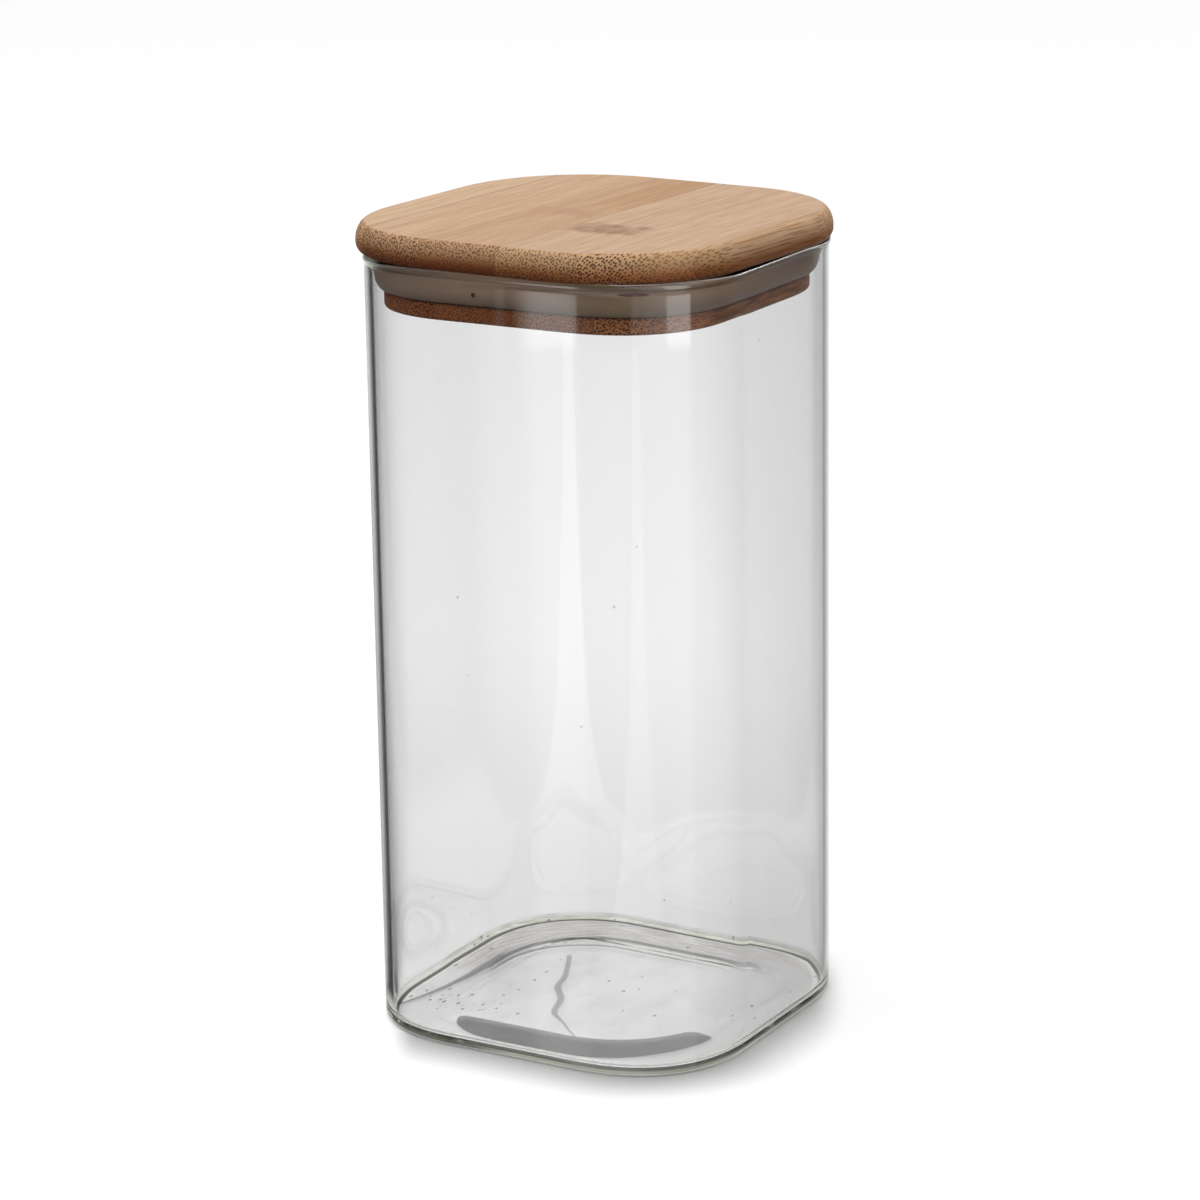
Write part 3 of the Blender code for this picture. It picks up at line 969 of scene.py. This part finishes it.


# The strips from -X to +X, with their places in mm. "long" and "end" are the wood's tones along
# the grain and on the ends, "line" and "dot_tone" those of its fibre bundles there, "warm" is a
# slow tint and "low" the tint of the painted shade on the plate's lower edge. "spacing" is the way
# from bundle to bundle and "dot" their size as a share of it. "dense" is an axis, two places on it
# and how strong the bundles are at each. "glue" is the strength of the glue lines on the left and
# on the right.
STRIPS = [
    {
        "long": (0.526, 0.367, 0.241), "line": (0.30, 0.17, 0.08), "end": (0.57, 0.335, 0.183),
        "dot_tone": (0.085, 0.034, 0.014), "warm": (1.0, 0.93, 0.84), "spacing": 0.66, "dot": 0.43,
        "dense": ("x", -52.0, -38.0, 1.0, 0.9), "glue": (0.0, 0.5), "low": (1.0, 0.95, 0.93),
    },
    {
        "long": (0.496, 0.330, 0.213), "line": (0.30, 0.17, 0.09), "end": (0.46, 0.274, 0.148),
        "dot_tone": (0.08, 0.032, 0.013), "warm": (1.0, 0.95, 0.88), "spacing": 0.66, "dot": 0.43,
        "dense": ("x", -38.0, -18.0, 0.9, 1.0), "glue": (0.5, 0.1), "low": (0.76, 0.62, 0.52),
    },
    {
        "long": (0.460, 0.297, 0.181), "line": (0.28, 0.15, 0.08), "end": (0.42, 0.24, 0.123),
        "dot_tone": (0.09, 0.037, 0.016), "warm": (1.0, 0.93, 0.84), "spacing": 0.66, "dot": 0.4,
        "dense": ("z", 198.0, 205.0, 0.85, 1.0), "glue": (0.1, 0.3), "low": (0.82, 0.68, 0.6),
        "stain": (199.8, 203.4, (0.27, 0.11, 0.045), 0.68),
        "shade": (-9.0, 4.4, -10.0, 26.0, (0.9, 0.84, 0.76)),
        "knot": (-9.5, 1.5, (0.36, 0.19, 0.125), 0.72, 0.1),
    },
    {
        "long": (0.495, 0.341, 0.229), "line": (0.32, 0.19, 0.11), "end": (0.48, 0.3, 0.158),
        "dot_tone": (0.11, 0.047, 0.02), "warm": (1.0, 0.96, 0.9), "spacing": 0.66, "dot": 0.4,
        "dense": ("x", 7.0, 25.0, 0.95, 0.95), "glue": (0.3, 0.1), "low": (0.82, 0.68, 0.6),
        "knot": (-26.0, -12.0, (0.2, 0.1, 0.052), 0.92, -0.06),
    },
    {
        "long": (0.499, 0.343, 0.229), "line": (0.34, 0.2, 0.12), "end": (0.55, 0.335, 0.175),
        "dot_tone": (0.055, 0.02, 0.009), "warm": (1.0, 0.95, 0.88), "spacing": 0.72, "dot": 0.42,
        "dense": ("x", 32.0, 46.0, 1.0, 0.5), "glue": (0.1, 0.06), "low": (0.95, 0.84, 0.78),
    },
    {
        "long": (0.490, 0.318, 0.186), "line": (0.26, 0.125, 0.048), "end": (0.5, 0.31, 0.16),
        "dot_tone": (0.2, 0.09, 0.032), "warm": (1.0, 0.92, 0.82), "spacing": 0.66, "dot": 0.36,
        "dense": ("x", 46.0, 52.0, 0.8, 1.0), "glue": (0.06, 0.0), "lines": 0.8, "sway": 2.2,
        "low": (0.76, 0.66, 0.56),
    },
]


def glue_lines():
    """Where the strips meet, across the grain, with the plate's own edges."""
    shares = [FIRST_STRIP_SHARE + WHOLE_STRIP_SHARE * place for place in range(WHOLE_STRIPS + 1)]
    return [PLATE_HALF * (2 * share - 1) for share in (0.0, *shares, 1.0)]


def make_strips():
    """Parts the board at its glue lines into strips."""
    board = make_board()
    edges = glue_lines()
    across = Vector((cos(GRAIN_TURN), sin(GRAIN_TURN), 0.0))
    for number, (strip, left, right) in enumerate(zip(STRIPS, edges, edges[1:]), start=1):
        piece = board.copy()
        piece.data = board.data.copy()
        piece.name = f"bamboo_strip_{number}"
        bpy.context.scene.collection.objects.link(piece)
        pick_only(piece)
        bpy.ops.object.mode_set(mode="EDIT")
        for edge, wanted, sign in ((left, number > 1, 1), (right, number < len(STRIPS), -1)):
            if wanted:
                bpy.ops.mesh.select_all(action="SELECT")
                bpy.ops.mesh.bisect(
                    plane_co=across * (edge + sign * GLUE_LINE / 2),
                    plane_no=across * sign,
                    use_fill=True,
                    clear_inner=True,
                )
        finish_shape(piece)
        finish = bamboo_finish(number, strip, left, right)
        dress(piece, finish, "lid", "bamboo", f"lid_strip_{number}")
    bpy.data.objects.remove(board, do_unlink=True)


# Studio


def seen_aside(tree, x, y):
    """How far a place or a direction lies towards the right, as the photograph's camera sees it."""
    return plus(tree, times(tree, x, cos(CAMERA_AZIMUTH)), times(tree, y, sin(CAMERA_AZIMUTH)))


def seen_behind(tree, x, y):
    """How far a place or a direction lies behind the jar's middle, seen in the same way."""
    return minus(tree, times(tree, y, cos(CAMERA_AZIMUTH)), times(tree, x, sin(CAMERA_AZIMUTH)))


def bearing_of(tree, aside, behind):
    """The bearing of a place or a direction, in degrees from straight behind towards the right."""
    return times(tree, calc(tree, "ARCTAN2", aside, behind), 180.0 / pi)


def after(tree, path, kind):
    """1 for light that was bounced or let through in this way before, and 0 for all other light."""
    return calc(tree, "MINIMUM", path.outputs[f"{kind} Depth"], 1.0)


def shadow_round(tree, x, y, aside):
    """The painted shadow round the jar: how bright the paper is there. It falls a little towards the camera.
    """
    near_x = minus(tree, x, SHADOW_SHIFT * sin(CAMERA_AZIMUTH))
    near_y = plus(tree, y, SHADOW_SHIFT * cos(CAMERA_AZIMUTH))
    near = rounded_box(tree, near_x, near_y, GLASS_HALF, GLASS_HALF, GLASS_ROUND)
    halo = ease(tree, near, -9.0 * MM, 18.0 * MM, 0.28, 0.96)
    beside = times(tree, ease(tree, aside, -58.0 * MM, -49.0 * MM), ease(tree, aside, 63.0 * MM, 51.0 * MM))
    return between(tree, beside, 0.96, halo)


def paper_in_glass(tree, x, y, aside, behind):
    """How bright the paper is as the glass mirrors it and as it shows through.

    The mirrored paper gets painted dark cards, and the paper seen through the glass painted shade.
    """
    left_way = bearing_of(tree, plus(tree, aside, EDGE_ASIDE), behind)
    right_way = bearing_of(tree, minus(tree, aside, EDGE_ASIDE), behind)
    mirrored = calc(tree, "MINIMUM", ramp(tree, left_way, *CARD_LEFT), ramp(tree, right_way, *CARD_RIGHT))
    far = calc(tree, "SQRT", plus(tree, square(tree, x), square(tree, y)))
    backdrop = ease(tree, far, 60.0 * MM, 380.0 * MM, 0.84, 0.99)
    veil = times(tree, ramp(tree, left_way, *VEIL_LEFT), ramp(tree, right_way, *VEIL_RIGHT))
    closer = ease(tree, far, 420.0 * MM, 90.0 * MM, 1.0, 1.7)
    veil = minus(tree, 1.0, times(tree, minus(tree, 1.0, veil), closer))
    return mirrored, times(tree, backdrop, calc(tree, "MAXIMUM", veil, 0.1))


def make_floor():
    """White paper, with a painted soft shadow round the jar.

    Where the glass mirrors the paper far behind it, dark cards are painted on it on both sides.
    """
    bpy.ops.object.select_all(action="DESELECT")
    bpy.ops.mesh.primitive_plane_add(size=14.0, location=(0, 0, -FLOOR_GAP))
    floor = bpy.context.active_object
    floor.name = "studio_floor"
    finish, tree, shader = new_finish("white_paper")
    path = put(tree, "ShaderNodeLightPath")
    bounced = after(tree, path, "Glossy")
    lit = after(tree, path, "Diffuse")
    through = after(tree, path, "Transmission")
    spot = put(tree, "ShaderNodeTexCoord").outputs["Object"]
    x, y, _ = parts_of(tree, spot)
    aside = seen_aside(tree, x, y)
    behind = seen_behind(tree, x, y)
    outside = rounded_box(tree, x, y, GLASS_HALF, GLASS_HALF, GLASS_ROUND)
    halo = shadow_round(tree, x, y, aside)
    mirrored, shows_through = paper_in_glass(tree, x, y, aside, behind)
    plain = between(tree, through, halo, shows_through)
    shown = times(tree, bounced, ease(tree, outside, 2.0 * MM, 12.0 * MM))
    tone = between(tree, shown, plain, mirrored)
    tone = between(tree, lit, tone, 0.12)
    colour = put(tree, "ShaderNodeCombineColor", {0: tone, 1: tone, 2: tone}).outputs[0]
    tree.links.new(colour, shader.inputs["Base Color"])
    # Painted light: the paper under the jar glows a little, except for softly bounced light
    under = times(tree, ease(tree, outside, 0.0, -3.0 * MM), minus(tree, 1.0, lit), 0.33)
    shader.inputs["Emission Color"].default_value = (1.0, 1.0, 1.0, 1.0)
    tree.links.new(under, shader.inputs["Emission Strength"])
    shader.inputs["Roughness"].default_value = 1.0
    shader.inputs["Specular IOR Level"].default_value = 0.0
    floor.data.materials.append(finish)
    floor.visible_glossy = False


def mirrored_lamps(tree, x, y, z, bearing):
    """What the glass mirrors: tall lamps with a stripe beside them, a light above and a window."""
    side = bearing_of(tree, x, times(tree, y, -1.0))
    start = ease(tree, side, -31.05, -30.25)
    stripe = times(tree, ease(tree, side, -31.42, -31.34), ease(tree, side, -31.14, -31.22))
    strong = ramp(tree, side, *LAMPS_HIGH)
    mild = ramp(tree, side, *LAMPS_LOW)
    strong = plus(tree, times(tree, strong, start), times(tree, stripe, 0.45))
    mild = plus(tree, times(tree, mild, start), times(tree, stripe, 0.1))
    upper = ease(tree, z, -0.2075, -0.2025)
    lamps = between(tree, upper, mild, strong)
    above = ease(tree, z, 0.55, 0.75, 0.0, 2.0)
    window = times(
        tree,
        ease(tree, bearing, 44.0, 48.0),
        ease(tree, bearing, 64.0, 60.0),
        ease(tree, z, 0.24, 0.28),
        ease(tree, z, 0.46, 0.42),
        4.5,
    )
    return several(tree, "MAXIMUM", lamps, above, window)


def make_room():
    """White for the eye and for soft light. Reflections show a dim room with two tall soft lamps."""
    world = bpy.data.worlds.new("studio_room")
    world.use_nodes = True
    bpy.context.scene.world = world
    tree = world.node_tree
    tree.nodes.clear()
    way = put(tree, "ShaderNodeTexCoord").outputs["Generated"]
    x, y, z = parts_of(tree, way)
    bearing = bearing_of(tree, seen_aside(tree, x, y), seen_behind(tree, x, y))
    lamps = mirrored_lamps(tree, x, y, z, bearing)
    path = put(tree, "ShaderNodeLightPath")
    through = after(tree, path, "Transmission")
    lamps = times(tree, lamps, ease(tree, through, 0.0, 1.0, 1.0, 0.18))

    # The backdrop behind the jar, with a dark card to its left and a grey one to its right
    left = ramp(tree, bearing, *CARD_LEFT)
    right = ramp(tree, bearing, *PAPER_RIGHT)
    paper = times(tree, left, right, ease(tree, z, 0.0, 0.12, 1.0, 0.3))
    seen = plus(tree, lamps, paper, 0.045)
    overhead = ease(tree, z, 0.0, 1.0, 0.12, 1.14)
    lighting = after(tree, path, "Diffuse")
    soft = between(tree, lighting, seen, overhead)
    strength = between(tree, path.outputs["Is Camera Ray"], soft, 1.2)
    light = put(tree, "ShaderNodeBackground", {"Color": (1.0, 1.0, 1.0, 1.0), "Strength": strength})
    out = put(tree, "ShaderNodeOutputWorld")
    tree.links.new(light.outputs[0], out.inputs["Surface"])


def make_lamp():
    data = bpy.data.lights.new("overhead_softbox", "AREA")
    data.shape = "SQUARE"
    data.size = 1.1
    data.energy = 6.0
    lamp = bpy.data.objects.new("overhead_softbox", data)
    lamp.location = (-0.35, -0.25, 1.3)
    aim = Vector((0, 0, 0.2)) - lamp.location
    lamp.rotation_mode = "QUATERNION"
    lamp.rotation_quaternion = aim.to_track_quat("-Z", "Y")
    bpy.context.scene.collection.objects.link(lamp)


def make_camera():
    data = bpy.data.cameras.new("camera")
    data.lens = LENS
    data.sensor_width = 36.0
    data.clip_start = 0.05
    data.clip_end = 40.0
    camera = bpy.data.objects.new("camera", data)
    across, rise = CAMERA_AZIMUTH, CAMERA_ELEVATION
    back = Vector((sin(across) * cos(rise), -cos(across) * cos(rise), sin(rise)))
    right = Vector((cos(across), sin(across), 0))
    up = back.cross(right)
    turned_right = right * cos(CAMERA_ROLL) + up * sin(CAMERA_ROLL)
    turned_up = up * cos(CAMERA_ROLL) - right * sin(CAMERA_ROLL)
    place = Vector((0, 0, AIM_HEIGHT)) + right * AIM_RIGHT + back * CAMERA_DISTANCE
    turn = Matrix((turned_right, turned_up, back)).transposed().to_4x4()
    camera.matrix_world = Matrix.Translation(place) @ turn
    bpy.context.scene.collection.objects.link(camera)
    bpy.context.scene.camera = camera


make_glass()
make_seal()
make_strips()
make_floor()
make_room()
make_lamp()
make_camera()
bpy.context.scene.view_settings.view_transform = "Standard"
bpy.context.scene.cycles.blur_glossy = 0.0
# Light runs round inside the thick base, from one side to the other, by many small bounces
bpy.context.scene.cycles.max_bounces = LIGHT_BOUNCES
bpy.context.scene.cycles.glossy_bounces = LIGHT_BOUNCES
bpy.context.scene.cycles.transmission_bounces = LIGHT_BOUNCES
